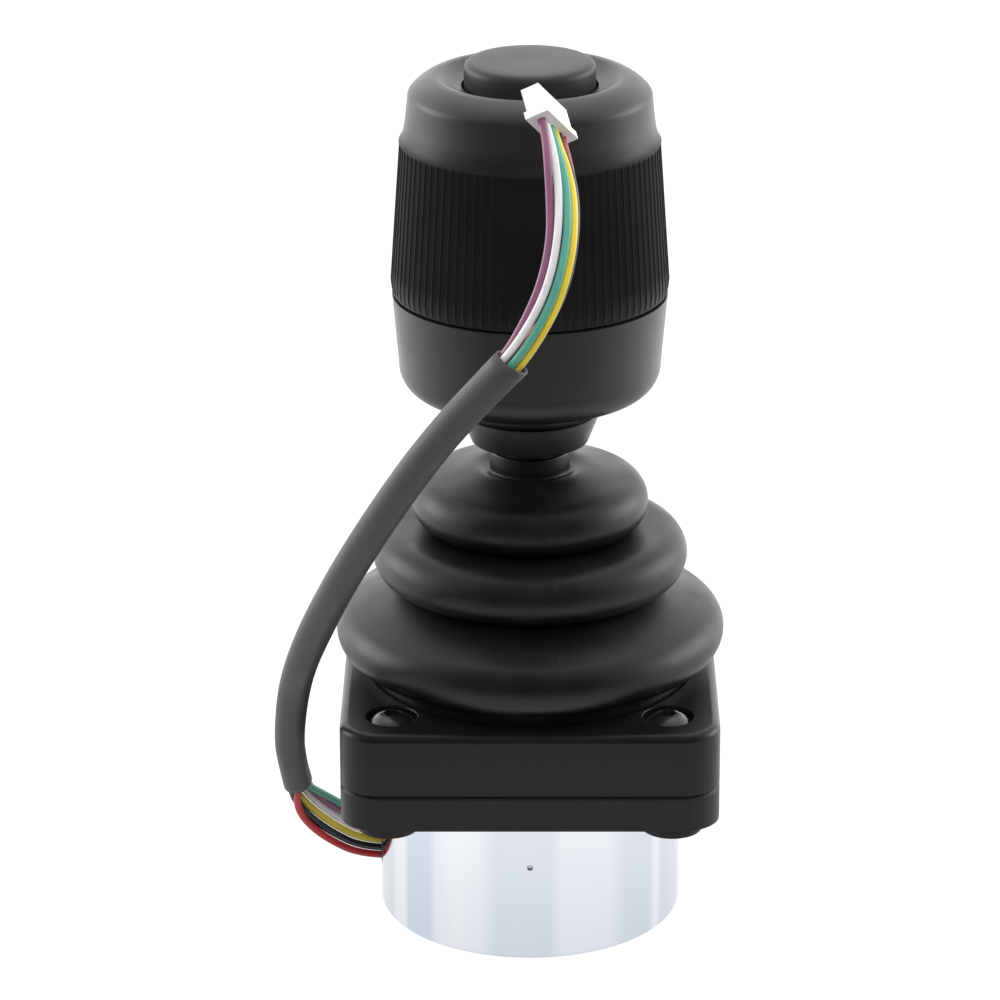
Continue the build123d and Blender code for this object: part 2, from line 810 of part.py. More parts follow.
with BuildPart() as twist_sensor:
    with BuildSketch(Plane.XY.offset(ledge_z + twist_board_thick)):
        with Locations((0, -(twist_board_r + twist_board_inner_r) / 2)):
            Rectangle(twist_chip_side, twist_chip_side)
    extrude(amount=twist_chip_height)

# Twist return spring round the hub, one end in the skirt's floor and one in the grip's tube
twist_coil_z = floor_top + twist_wire_r + slide_gap
with BuildPart() as twist_spring:
    with BuildLine() as twist_coil:
        Helix(twist_coil_height / twist_turns, twist_coil_height, twist_coil_r, center=(0, 0, twist_coil_z))
    with BuildSketch(Plane(origin=twist_coil.line @ 0, z_dir=twist_coil.line % 0)):
        Circle(twist_wire_r)
    sweep()
    with BuildSketch(Plane(origin=twist_coil.line @ 0, z_dir=(0, 0, -1))):
        Circle(twist_tang_r)
    extrude(amount=twist_coil_z - floor_top + skirt_floor / 2 - clamp_gap)
    with BuildSketch(Plane(origin=twist_coil.line @ 1)):
        Circle(twist_tang_r)
    extrude(amount=bush_z + tang_depth - twist_coil_z - twist_coil_height)

# Open ring in the hub's groove that keeps the grip on
with BuildPart() as hub_clip:
    with BuildSketch(Plane.XY.offset(clip_groove_z + clamp_gap / 2)):
        Circle(clip_groove_r + clamp_gap + clip_width)
        Circle(clip_groove_r + clamp_gap, mode=Mode.SUBTRACT)
        with Locations((0, hub_r)):
            Rectangle(clip_opening, 2 * clip_width, mode=Mode.SUBTRACT)
    extrude(amount=clip_thick)

with BuildPart() as switch_board:
    with BuildSketch(Plane.XY.offset(hub_top)):
        Circle(switch_board_r)
    extrude(amount=switch_board_thick)

with BuildPart() as switch_body:
    with BuildSketch(Plane.XY.offset(switch_board_top)):
        RectangleRounded(switch_side, switch_side, seam_chamfer)
    extrude(amount=switch_height)
    with BuildSketch(Plane.XY.offset(switch_top)):
        Circle(plunger_r + clamp_gap)
    extrude(amount=-plunger_depth - button_travel - clamp_gap, mode=Mode.SUBTRACT)

# Slot-ended cutter for one flute between two ribs, square to the tapered side
rib_foot_z = grip_z + grip_bulge_rise
rib_top_z = grip_z + rib_top_rise
flute_foot_z = grip_z + flute_foot
flute_length = rib_top_z - flute_foot_z
rib_lean = math.degrees(math.atan2(grip_bulge_r - rib_top_r, rib_top_z - rib_foot_z))
flute_middle = Vector(grip_bulge_r + rib_top_r, 0, flute_foot_z + rib_top_z) / 2
flute_out = Vector(1, 0, 0).rotate(Axis.Y, -rib_lean)
flute_floor = Plane(origin=flute_middle - flute_out * flute_depth, x_dir=(0, 1, 0), z_dir=flute_out)
with BuildPart() as one_flute:
    with BuildSketch(flute_floor):
        SlotOverall(flute_length, flute_width, rotation=90)
    extrude(amount=4 * flute_depth)

# Twist grip: ribbed shell, dished top, button well and the tube that turns on the hub
with BuildPart() as twist_grip:
    with BuildSketch(Plane.XZ):
        with BuildLine():
            ThreePointArc(
                (grip_foot_r, grip_z),
                ((grip_foot_r + 3 * grip_bulge_r) / 4, grip_z + grip_bulge_rise / 2),
                (grip_bulge_r, rib_foot_z),
            )
            Polyline(
                (grip_bulge_r, rib_foot_z),
                (rib_top_r, rib_top_z),
                (rib_top_r - shoulder_step, rib_top_z + shoulder_step),
                (grip_shoulder_r, grip_z + grip_shoulder_rise),
                (grip_edge_r, crest_z - edge_round),
            )
            CenterArc((grip_edge_r - edge_round, crest_z - edge_round), edge_round, 0, 90)
            Line((grip_edge_r - edge_round, crest_z), (crest_r, crest_z))
            RadiusArc((crest_r, crest_z), (well_r, crest_z - dish_drop), dish_curve_r)
            Polyline(
                (well_r, crest_z - dish_drop),
                (well_r, well_z),
                (stem_r + stem_gap, well_z),
                (stem_r + stem_gap, ledge_foot),
                (tube_r, ledge_foot),
                (tube_r, bush_z),
                (tube_r + tube_wall, bush_z),
                (tube_r + tube_wall, crest_z - grip_top_wall),
                (grip_inner_r - roof_set_in, crest_z - grip_top_wall),
                (grip_inner_r, ledge_foot),
                (grip_inner_r, grip_z),
                (grip_foot_r, grip_z),
            )
        make_face()
    revolve(axis=Axis.Z)
    with BuildSketch(Plane.XY.offset(bush_z)):
        with Locations((twist_coil_r, 0)):
            Circle(twist_wire_r + clamp_gap)
    extrude(amount=tang_depth + clamp_gap, mode=Mode.SUBTRACT)
    with PolarLocations(0, rib_count):
        add(one_flute.part, mode=Mode.SUBTRACT)

with BuildPart() as grip_bush:
    with BuildSketch(Plane.XY.offset(bush_z)):
        Circle(tube_r - press_gap)
        Circle(bush_bore_r, mode=Mode.SUBTRACT)
    extrude(amount=bush_height)

with BuildPart() as twist_magnet:
    with BuildSketch(Plane.XY.offset(grip_z + magnet_ring_rise)):
        Circle(grip_inner_r - press_gap)
        Circle(grip_inner_r - magnet_ring_width, mode=Mode.SUBTRACT)
    extrude(amount=magnet_ring_height)

# Push button: a flat cap on a stem, with the groove for its clip
clip_z = ledge_foot - slide_gap - clip_thick
with BuildPart() as push_button:
    with BuildSketch(Plane.XZ):
        with BuildLine():
            Polyline(
                (0, stem_foot),
                (stem_r, stem_foot),
                (stem_r, clip_z),
                (e_clip_groove_r, clip_z),
                (e_clip_groove_r, clip_z + clip_thick),
                (stem_r, clip_z + clip_thick),
                (stem_r, cap_under),
                (button_r - button_wall, cap_under),
                (button_r - button_wall, button_foot),
                (button_r, button_foot),
                (button_r, button_top),
                (0, button_top),
                close=True,
            )
        make_face()
    revolve(axis=Axis.Z)
    fillet(push_button.edges().group_by(Axis.Z)[-1], button_edge_r)

with BuildPart() as button_clip:
    with BuildSketch(Plane.XY.offset(clip_z)):
        Circle(e_clip_r)
        Circle(e_clip_groove_r + press_gap, mode=Mode.SUBTRACT)
        with Locations((0, e_clip_r)):
            Rectangle(e_clip_groove_r, 2 * e_clip_r, mode=Mode.SUBTRACT)
    extrude(amount=clip_thick)

with BuildPart() as switch_plunger:
    with BuildSketch(Plane.XY.offset(switch_top - plunger_depth)):
        Circle(plunger_r)
    extrude(amount=stem_foot - switch_top + plunger_depth)

with BuildPart() as button_spring:
    spring_foot = well_z + button_wire_r + clamp_gap
    spring_rise = cap_under - well_z - 2 * (button_wire_r + clamp_gap)
    with BuildLine() as button_coil:
        Helix(spring_rise / button_turns, spring_rise, button_coil_r, center=(0, 0, spring_foot))
    with BuildSketch(Plane(origin=button_coil.line @ 0, z_dir=button_coil.line % 0)):
        Circle(button_wire_r)
    sweep()

# Rubber grommet in the can's side, with a slot for the row of wires
wire_lines = [wire_points(number) for number in range(len(wire_names))]
exit_row = wire_lines[-1][0] - wire_lines[passing_wire][0]
exit_row_angle = math.degrees(math.atan2(exit_row.Z, exit_row.Y))
with BuildPart() as cable_grommet:
    with BuildSketch(Plane.YZ.offset(-housing_inner_r)):
        with Locations((0, exit_z)):
            Circle(grommet_r)
    extrude(amount=housing_inner_r - can_r)
    Cylinder(can_r, 4 * exit_z, mode=Mode.INTERSECT)
    with BuildSketch(Plane.YZ):
        with Locations((0, exit_z)):
            SlotCenterToCenter(exit_row.length, 2 * (wire_r + wire_bore_gap), rotation=exit_row_angle)
    extrude(amount=-2 * can_r, mode=Mode.SUBTRACT)

# Dark sleeve over the wires
sleeve_radii = bend_radii(sleeve_points)
with BuildPart() as cable_sleeve:
    with BuildLine() as sleeve_path:
        FilletPolyline(*sleeve_points, radius=sleeve_radii)
    with BuildSketch(Plane(origin=sleeve_path.line @ 0, z_dir=sleeve_path.line % 0)):
        Circle(sleeve_r)
        Circle(sleeve_r - sleeve_wall, mode=Mode.SUBTRACT)
    sweep()
sleeve_length = sleeve_path.wires()[0].length
print("cable_sleeve length", round(sleeve_length, 1), "least radius", round(min(sleeve_radii), 1))

# Six wires from the grommet through the sleeve to the connector
wires = {}
for name, points in zip(wire_names, wire_lines):
    radii = bend_radii(points)
    with BuildPart() as wire:
        with BuildLine() as wire_path:
            FilletPolyline(*points, radius=radii)
        with BuildSketch(Plane(origin=wire_path.line @ 0, z_dir=wire_path.line % 0)):
            Circle(wire_r)
        sweep()
    wires["wire_" + name] = wire
    wire_length = wire_path.wires()[0].length
    share = wire.part.volume / (math.pi * wire_r**2 * wire_length)
    print("wire_" + name, "length", round(wire_length, 1), "least radius", round(min(radii), 1),
          "volume share", round(share, 4))

# White connector housing on the wires' ends
connector_width = (len(wire_names) - 1) * connector_pitch + 2 * connector_margin
connector_back = connector_face.offset(-connector_entry)
connector_front = connector_back.offset(connector_length)
with BuildPart() as connector_housing:
    with BuildSketch(connector_back):
        Rectangle(connector_width, connector_thick)
    extrude(amount=connector_length)
    with BuildSketch(connector_back):
        Rectangle(connector_width + 2 * connector_lip, connector_thick + 2 * connector_lip)
    extrude(amount=connector_lip_length)
    with BuildSketch(connector_back):
        with GridLocations(connector_pitch, connector_pitch, len(wire_names), 1):
            Circle(wire_r + wire_bore_gap)
    extrude(amount=connector_entry + clamp_gap, mode=Mode.SUBTRACT)
    with BuildSketch(connector_front):
        with GridLocations(connector_pitch, connector_pitch, len(wire_names), 1):
            Rectangle(contact_slot, contact_slot)
    extrude(amount=-connector_entry, mode=Mode.SUBTRACT)

# Every piece is one file
pieces = {
    "can_housing": can_housing,
    "board_spacer": board_spacer,
    "sensor_board": sensor_board,
    "hall_sensor": hall_sensor,
    "gimbal_housing": gimbal_housing,
    "housing_bushes": housing_bushes,
    "mounting_flange": mounting_flange,
    "bezel": bezel,
    "bezel_screws": bezel_screws,
    "boot": boot,
    "return_spring_x": return_spring_x,
    "gimbal_ring": gimbal_ring,
    "ring_pins": ring_pins,
    "ring_bushes": ring_bushes,
    "return_spring_y": return_spring_y,
    "pivot_block": pivot_block,
    "block_pins": block_pins,
    "shaft": shaft,
    "shaft_nut": shaft_nut,
    "magnet_holder": magnet_holder,
    "stick_magnet": stick_magnet,
    "knob_collar": knob_collar,
    "knob_base": knob_base,
    "twist_board": twist_board,
    "twist_sensor": twist_sensor,
    "twist_spring": twist_spring,
    "hub_clip": hub_clip,
    "switch_board": switch_board,
    "switch_body": switch_body,
    "twist_grip": twist_grip,
    "grip_bush": grip_bush,
    "twist_magnet": twist_magnet,
    "push_button": push_button,
    "button_clip": button_clip,
    "switch_plunger": switch_plunger,
    "button_spring": button_spring,
    "cable_grommet": cable_grommet,
    "cable_sleeve": cable_sleeve,
    "connector_housing": connector_housing,
    **wires,
}
os.makedirs("parts", exist_ok=True)
for label, piece in pieces.items():
    piece.part.label = label
    export_step(piece.part, f"parts/{label}.step")
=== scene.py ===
import bpy
import math
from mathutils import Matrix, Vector, noise


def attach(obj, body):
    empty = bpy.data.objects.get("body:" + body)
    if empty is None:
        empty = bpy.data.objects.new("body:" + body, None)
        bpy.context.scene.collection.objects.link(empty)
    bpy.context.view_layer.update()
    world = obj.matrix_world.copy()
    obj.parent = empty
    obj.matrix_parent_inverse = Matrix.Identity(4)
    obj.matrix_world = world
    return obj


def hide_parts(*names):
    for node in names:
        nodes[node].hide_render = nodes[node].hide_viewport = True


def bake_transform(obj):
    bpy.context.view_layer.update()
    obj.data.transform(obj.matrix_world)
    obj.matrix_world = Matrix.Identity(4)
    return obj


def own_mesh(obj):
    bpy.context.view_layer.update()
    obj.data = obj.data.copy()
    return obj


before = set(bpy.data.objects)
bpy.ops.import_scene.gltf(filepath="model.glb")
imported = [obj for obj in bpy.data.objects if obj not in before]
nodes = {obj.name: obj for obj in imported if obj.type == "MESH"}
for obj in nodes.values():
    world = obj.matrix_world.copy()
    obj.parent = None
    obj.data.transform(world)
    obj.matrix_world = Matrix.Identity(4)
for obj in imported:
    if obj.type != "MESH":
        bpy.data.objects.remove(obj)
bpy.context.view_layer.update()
scene = bpy.context.scene
scene.view_settings.view_transform = "Standard"


def link(name, data):
    obj = bpy.data.objects.new(name, data)
    scene.collection.objects.link(obj)
    return obj


def smooth_mesh(name, vertices, faces):
    mesh = bpy.data.meshes.new(name)
    mesh.from_pydata(vertices, [], faces)
    mesh.polygons.foreach_set("use_smooth", [True] * len(mesh.polygons))
    return mesh


def share_of(value, start, length):
    """How far a value has come from the start over a length, from 0 to 1."""
    return min(1.0, max(0.0, (value - start) / length))


# Camera, as worked out from the photograph
CAMERA_PLACE = (0.0, -0.708, 0.3378)
CAMERA_DIP = 20.75
CAMERA_LENS = 170.4
CAMERA_SHIFT = -0.03
camera_data = bpy.data.cameras.new("camera")
camera_data.sensor_width = 36.0
camera_data.lens = CAMERA_LENS
camera_data.shift_x = CAMERA_SHIFT
camera_data.clip_start = 0.01
camera_data.clip_end = 50.0
camera = link("camera", camera_data)
camera.location = CAMERA_PLACE
camera.rotation_euler = (math.radians(90 - CAMERA_DIP), 0.0, 0.0)
scene.camera = camera

# Harness: the route's points in millimetres, as in the part
EXIT_POINTS = [
    (-22.9, 0.0, 10.5),
    (-27.0, 0.0, 10.5),
    (-31.6, -1.0, 13.4),
    (-35.0, -2.8, 17.0),
    (-36.9, -4.7, 20.2),
]
SLEEVE_POINTS = [
    (-37.6, -6.5, 23.2),
    (-38.3, -9.5, 28.1),
    (-38.6, -13.0, 34.1),
    (-37.3, -20.0, 45.4),
    (-35.0, -27.5, 54.7),
    (-31.4, -35.0, 64.8),
    (-27.3, -43.0, 75.0),
    (-20.3, -50.5, 88.7),
    (-14.6, -55.0, 98.3),
    (-8.7, -58.5, 106.6),
    (-2.6, -60.5, 113.8),
]
FREE_POINTS = [
    (1.2, -61.0, 119.6),
    (3.9, -60.5, 125.5),
    (5.2, -58.5, 131.7),
    (5.3, -55.2, 137.0),
    (4.6, -52.2, 141.1),
    (3.6, -49.2, 144.0),
    (2.7, -46.6, 146.5),
]
WIRES = ("purple", "white", "green", "yellow", "black", "red")
WIRE_R = 0.0006
ROW_MIDDLE = (len(WIRES) - 1) / 2
AT_EXIT = len(EXIT_POINTS)
IN_SLEEVE = len(SLEEVE_POINTS)

# The wires' row at each point: its radius of curl, its turn about the route and the wires' spacing
ROW_FLAT = 400.0
BUNDLE_R = 1.43
RING_SPACING = 2 * math.pi * BUNDLE_R / len(WIRES)
EXIT_SPACING = 1.27
EXIT_TURN = -188.0
TURN_STEP = 16.2
ROW_CURL = [ROW_FLAT, ROW_FLAT, 9.0, 3.6, 2.0] + [BUNDLE_R] * IN_SLEEVE
ROW_CURL += [1.75, 2.0, 2.0, 2.8, 7.0, ROW_FLAT, ROW_FLAT]
ROW_TURN = [EXIT_TURN] * AT_EXIT + [EXIT_TURN + TURN_STEP * i for i in range(IN_SLEEVE)]
ROW_TURN += [-26.0, -26.0, -26.0, -20.0, -8.0, 0.0, 0.0]
ROW_SPACING = [EXIT_SPACING] * AT_EXIT + [RING_SPACING] * IN_SLEEVE
ROW_SPACING += [1.4, 1.36, 1.36, 1.36, 1.4, 1.5, 1.5]

# Inside the sleeve two wires move up one place each, and the one that passes them runs through the middle
EXIT_PLACES = (1, 2, 0, 3, 4, 5)
PASSING = 2
MOVED = [0.0] * 9 + [0.25, 0.5, 0.75] + [1.0] * 11
MIDDLE = [0.0] * 6 + [0.5] + [1.0] * 7 + [0.5] + [0.0] * 8
route = [Vector(p) / 1000 for p in EXIT_POINTS + SLEEVE_POINTS + FREE_POINTS]
runs = [(b - a).normalized() for a, b in zip(route, route[1:])]
connector_push = runs[-1]
connector_row = Vector((0.41, 0.66, -0.63))
connector_row = (connector_row - connector_push * connector_row.dot(connector_push)).normalized()


def carried_sides():
    """Side axis of each run, carried back from the connector's row without twist."""
    sides = [connector_row]
    for ahead, here in zip(reversed(runs), reversed(runs[:-1])):
        sides.insert(0, ahead.rotation_difference(here) @ sides[0])
    return sides


def row_place(number, i):
    """Place of one wire across the route at point i, in metres along and up from the row's middle."""
    curl = ROW_CURL[i]
    step = ROW_SPACING[i] / curl
    place = EXIT_PLACES[number] + (number - EXIT_PLACES[number]) * MOVED[i]
    if number == PASSING:
        place = EXIT_PLACES[number] if MOVED[i] < 0.5 else number
    angle = (place - ROW_MIDDLE) * step
    rises = [curl * (1 - math.cos((n - ROW_MIDDLE) * step)) for n in range(len(WIRES))]
    along = curl * math.sin(angle)
    rise = curl * (1 - math.cos(angle)) - sum(rises) / len(rises)
    if number == PASSING:
        along *= 1 - MIDDLE[i]
        rise *= 1 - MIDDLE[i]
    turn = math.radians(ROW_TURN[i])
    return ((along * math.cos(turn) - rise * math.sin(turn)) / 1000,
            (along * math.sin(turn) + rise * math.cos(turn)) / 1000)


def wire_points(number):
    """One wire's points, mitred at each corner of the route."""
    sides = carried_sides()
    points = []
    for i, middle in enumerate(route):
        here = min(i, len(runs) - 1)
        before = runs[max(here - 1, 0)] if i < len(runs) else runs[here]
        after = runs[here]
        side = sides[here]
        up = after.cross(side)
        along, rise = row_place(number, i)
        spread = side * along + up * rise
        points.append(middle + spread - after * (spread.dot(before) / (1 + before.dot(after))))
    return points


def nurbs(name, points, round_wire):
    data = bpy.data.curves.new(name, "CURVE")
    data.dimensions = "3D"
    spline = data.splines.new("NURBS")
    spline.points.add(len(points) - 1)
    for control, p in zip(spline.points, points):
        control.co = (p.x, p.y, p.z, 1.0)
        control.radius = WIRE_R
    spline.order_u = 3
    spline.use_endpoint_u = True
    data.resolution_u = 10
    data.bevel_depth = 1.0 if round_wire else 0.0
    data.bevel_resolution = 5
    data.use_fill_caps = round_wire
    return link(name, data)


def line_of(curve):
    """Points along a curve that has no bevel."""
    mesh = bpy.data.meshes.new_from_object(curve)
    points = [v.co.copy() for v in mesh.vertices]
    bpy.data.meshes.remove(mesh)
    return points


def length_of(points):
    return sum((b - a).length for a, b in zip(points, points[1:]))


wire_pieces = {}
for number, colour in enumerate(WIRES):
    points = wire_points(number)
    bare = nurbs("bare_" + colour, points, False)
    length = length_of(line_of(bare))
    bpy.data.objects.remove(bare)
    wire = nurbs("lead_" + colour, points, True)
    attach(wire, "base")
    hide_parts("wire_" + colour)
    wire_pieces[colour] = wire

# Sleeve: a soft tube along the route's own spline, flatter towards its upper end
SLEEVE_WALL = 0.00032
SLEEVE_SIDES = 40
SLEEVE_FRONT = Vector((0.0, -1.0, 0.35))
HALF_WIDTH = 0.00232
HALF_DEPTH = 0.00240
WIDENING = 0.00030
WIDENING_RATE = 2.2
END_RATE = 28
END_FLARE = 0.03
END_SLANT = 0.0005
SLANT_TURN = 0.6
UNEVEN = 0.02
UNEVEN_ROUND = 1.6
UNEVEN_ALONG = 9.0
spine = nurbs("sleeve_line", [Vector(p) / 1000 for p in SLEEVE_POINTS], False)
sleeve_line = line_of(spine)
bpy.data.objects.remove(spine)


def tube_frames(points):
    """Tangent, sideways and towards-viewer axes along a line, for an oval section."""
    frames = []
    for i, p in enumerate(points):
        along = (points[min(i + 1, len(points) - 1)] - points[max(i - 1, 0)]).normalized()
        side = along.cross(SLEEVE_FRONT).normalized()
        frames.append((along, side, side.cross(along)))
    return frames


def sleeve_ring(share, place, axes, wall):
    """One ring of the sleeve's outside or inside, flared and cut a little askew at the ends."""
    along, side, front = axes
    wide = HALF_WIDTH + WIDENING * min(1.0, share * WIDENING_RATE)
    end = max(0.0, 1.0 - share * END_RATE) + max(0.0, 1.0 - (1 - share) * END_RATE)
    ring = []
    for k in range(SLEEVE_SIDES):
        a = 2 * math.pi * k / SLEEVE_SIDES
        spot = Vector((math.cos(a) * UNEVEN_ROUND, math.sin(a) * UNEVEN_ROUND, share * UNEVEN_ALONG))
        swell = 1.0 + UNEVEN * noise.noise(spot) + END_FLARE * end
        slant = along * (END_SLANT * end * math.cos(a - SLANT_TURN))
        x = (wide * swell - wall) * math.cos(a)
        y = (HALF_DEPTH * swell - wall) * math.sin(a)
        ring.append(place + side * x + front * y + slant)
    return ring


def sleeve_mesh():
    vertices = []
    faces = []
    last = len(sleeve_line) - 1
    axes = tube_frames(sleeve_line)
    for wall in (0.0, SLEEVE_WALL):
        for i, place in enumerate(sleeve_line):
            vertices += sleeve_ring(i / last, place, axes[i], wall)
    step = len(sleeve_line) * SLEEVE_SIDES
    for i in range(last + 1):
        for k in range(SLEEVE_SIDES):
            a, b = i * SLEEVE_SIDES + k, i * SLEEVE_SIDES + (k + 1) % SLEEVE_SIDES
            if i < last:
                c, d = b + SLEEVE_SIDES, a + SLEEVE_SIDES
                faces.append((a, b, c, d))
                faces.append((step + d, step + c, step + b, step + a))
            if i == 0:
                faces.append((b, a, step + a, step + b))
            if i == last:
                faces.append((a, b, step + b, step + a))
    return smooth_mesh("sleeve", vertices, faces)


sleeve = link("sleeve", sleeve_mesh())
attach(sleeve, "base")
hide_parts("cable_sleeve")

# Small dimple in the can's front, where the part has a hole through the wall
DIMPLE_R = 0.00052
DIMPLE_Z = 0.0162
DIMPLE_SIDES = 24
DIMPLE_RINGS = ((0.0, -0.02400), (0.5, -0.02401), (0.8, -0.02406), (1.0, -0.02418))


def dimple_mesh():
    vertices = []
    faces = []
    for i, (share, y) in enumerate(DIMPLE_RINGS):
        for k in range(DIMPLE_SIDES):
            a = 2 * math.pi * k / DIMPLE_SIDES
            vertices.append((DIMPLE_R * share * math.cos(a), y, DIMPLE_Z + DIMPLE_R * share * math.sin(a)))
            if i > 0:
                b, c = (i - 1) * DIMPLE_SIDES + k, (i - 1) * DIMPLE_SIDES + (k + 1) % DIMPLE_SIDES
                faces.append((b, c, c + DIMPLE_SIDES, b + DIMPLE_SIDES))
    return smooth_mesh("dimple", vertices, faces)


dimple = link("dimple", dimple_mesh())
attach(dimple, "base")

# Boot: the part's three folds as two soft skins that meet in the lower valley
BOOT_WALL = 1.5
LIP_R = (4.58, 4.44, 4.33)
FOLD_R = (31.24, 25.25, 18.99)
FOLD_Z = (48.4, 61.07, 70.03)
TOP_ANGLE = (64.4, 88.0, 78.0)
VALLEYS = ((20.16, 56.47), (14.06, 65.63))
BASE = (25.9, 33.0)
NECK_R = 6.4
NECK_SHOULDER = (8.6, 75.9)
NECK_Z = 75.0
NECK_TOP = 78.6
BOOT_SIDES = 144
LIP_STEPS = 26
SEAM = math.radians(9.2)
SEAM_STEPS = (-0.016, -0.008, -0.004, 0.0, 0.004, 0.008, 0.016)
SEAM_CLEAR = 0.02
SEAM_RISE = 0.05
SEAM_WIDTH = 0.22
WAVE = 0.22
WAVE_ROUND = 1.7
WAVE_UP = 0.11


def arc_points(middle, radius, first, last, count):
    angles = [math.radians(first + (last - first) * i / count) for i in range(count + 1)]
    return [(middle[0] + radius * math.cos(a), middle[1] + radius * math.sin(a)) for a in angles]


def line_points(a, b, count):
    return [(a[0] + (b[0] - a[0]) * i / count, a[1] + (b[1] - a[1]) * i / count)
            for i in range(count + 1)]


def fold_points(fold, entry_r):
    """Section of one fold's lip, from the upright below it to its upper side."""
    middle = (FOLD_R[fold] - LIP_R[fold], FOLD_Z[fold])
    across = entry_r - middle[0]
    entry = -math.degrees(math.acos(across / LIP_R[fold]))
    return arc_points(middle, LIP_R[fold], entry, TOP_ANGLE[fold], LIP_STEPS)


def rounded(points, rounds):
    """Softens the section's corners, as moulded rubber has them."""
    for _ in range(rounds):
        middle = [((a[0] + 2 * b[0] + c[0]) / 4, (a[1] + 2 * b[1] + c[1]) / 4)
                  for a, b, c in zip(points, points[1:], points[2:])]
        points = [points[0]] + middle + [points[-1]]
    return points


lip_one = fold_points(0, BASE[0])
lip_two = fold_points(1, VALLEYS[0][0])
lip_three = fold_points(2, VALLEYS[1][0])
lower_section = line_points(BASE, lip_one[0], 12) + lip_one[1:]
lower_section += line_points(lip_one[-1], VALLEYS[0], 8)[1:]
upper_section = line_points(VALLEYS[0], lip_two[0], 4) + lip_two[1:]
upper_section += line_points(lip_two[-1], VALLEYS[1], 8)[1:]
upper_section += line_points(VALLEYS[1], lip_three[0], 4)[1:] + lip_three[1:]
upper_section += line_points(lip_three[-1], NECK_SHOULDER, 8)[1:]
upper_section += line_points(NECK_SHOULDER, (NECK_R, NECK_Z), 5)[1:]
upper_section += line_points((NECK_R, NECK_Z), (NECK_R, NECK_TOP), 9)[1:]


def boot_skin(name, section):
    """Turned skin with the mould's parting line, and the slight unevenness of soft rubber."""
    angles = [2 * math.pi * k / BOOT_SIDES for k in range(BOOT_SIDES)]
    for seam in (SEAM, SEAM + math.pi):
        angles = [a for a in angles if abs(a - seam) > SEAM_CLEAR]
        angles += [seam + d for d in SEAM_STEPS]
    angles.sort()
    vertices = []
    for r, z in section:
        loose = share_of(z, 42.0, 4.0) * share_of(z, 76.0, -3.0)
        raised = share_of(z, 41.6, 1.0) * share_of(z, 74.0, -2.0)
        for a in angles:
            way = Vector((math.sin(a), -math.cos(a), 0.0))
            spot = Vector((way.x * WAVE_ROUND, way.y * WAVE_ROUND, z * WAVE_UP))
            wave = noise.noise(spot) * WAVE * loose
            line = min(abs(a - SEAM), abs(a - SEAM - math.pi)) * r
            ridge = SEAM_RISE * max(0.0, 1.0 - line / SEAM_WIDTH) * raised
            out = r + wave + ridge
            vertices.append(Vector((way.x * out, way.y * out, z + wave * 0.5)) / 1000)
    faces = []
    count = len(angles)
    for i in range(len(section) - 1):
        for k in range(count):
            a, b = i * count + k, i * count + (k + 1) % count
            faces.append((a, b, b + count, a + count))
    skin = link(name, smooth_mesh(name, vertices, faces))
    thick = skin.modifiers.new("wall", "SOLIDIFY")
    thick.thickness = BOOT_WALL / 1000
    thick.offset = -1.0
    thick.use_even_offset = False
    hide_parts("boot")
    return skin


boot_lower = boot_skin("boot_lower", rounded(lower_section, 2))
boot_upper = boot_skin("boot_upper", rounded(upper_section, 2))
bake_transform(boot_lower)
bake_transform(boot_upper)

# Knob: the ribbed shell and the button as turned meshes, with softly rounded tops
RIBS = 90
FLUTE_DEPTH = 0.22
FLUTE_FLATNESS = 8
FLUTE_FOOT = 105.4
FLUTE_TOP = 129.5
FLUTE_END = 0.6
FLUTE_PLACES = (-0.47, -0.41, -0.34, -0.15, 0.15, 0.34, 0.41, 0.47)
GRIP_OUTSIDE = [
    # foot, ribbed wall and the step above it
    (21.5, 105.1), (21.6, 105.3), (21.65, 105.4), (21.72, 105.52), (21.79, 105.7), (21.87, 106.0),
    (21.95, 106.5), (22.0, 107.2), (21.6, 113.0), (21.1, 120.2), (20.6, 127.3), (20.51, 128.6),
    (20.5, 128.9), (20.49, 129.1), (20.475, 129.3), (20.46, 129.42), (20.45, 129.5), (20.38, 129.62),
    # plain neck and its outer edge
    (20.1, 129.86), (19.72, 131.2), (19.45, 132.8), (19.25, 134.6), (19.1, 136.2), (19.05, 136.8),
    (18.98, 137.1), (18.85, 137.38), (18.65, 137.66), (18.2, 138.12), (17.5, 138.72), (16.8, 139.2),
    # crest, and the dish down to the button
    (16.2, 139.54), (15.7, 139.76), (15.3, 139.88), (14.9, 139.96), (14.5, 139.95), (14.1, 139.84),
    (13.6, 139.56), (12.9, 139.1), (12.2, 138.74), (11.4, 138.48), (10.85, 138.42), (10.68, 138.36),
    (10.6, 138.2),
]
GRIP_INSIDE = [
    (10.6, 131.0), (4.0, 131.0), (4.0, 129.0), (9.99, 129.0), (9.99, 110.25), (12.49, 110.25),
    (12.49, 133.6), (17.2, 133.6), (18.4, 129.0), (18.4, 105.1),
]
SHARP_ANGLE = math.radians(38)
BUTTON_SIDES = 120
STEM_R = 3.5
CLIP_GROOVE_R = 2.6
CLIP_TOP = 128.7
CLIP_FOOT = 127.9
BUTTON_SECTION = [
    # top with its rounded edge
    (0.0, 142.3), (4.0, 142.3), (7.5, 142.27), (9.0, 142.2), (9.5, 142.1), (9.85, 141.92),
    (10.08, 141.66), (10.21, 141.3), (10.25, 140.9),
    # skirt, and the stem with its clip's groove
    (10.25, 133.2), (8.6, 133.2), (8.6, 139.8), (STEM_R, 139.8), (STEM_R, CLIP_TOP),
    (CLIP_GROOVE_R, CLIP_TOP), (CLIP_GROOVE_R, CLIP_FOOT), (STEM_R, CLIP_FOOT), (STEM_R, 126.8), (0.0, 126.8),
]


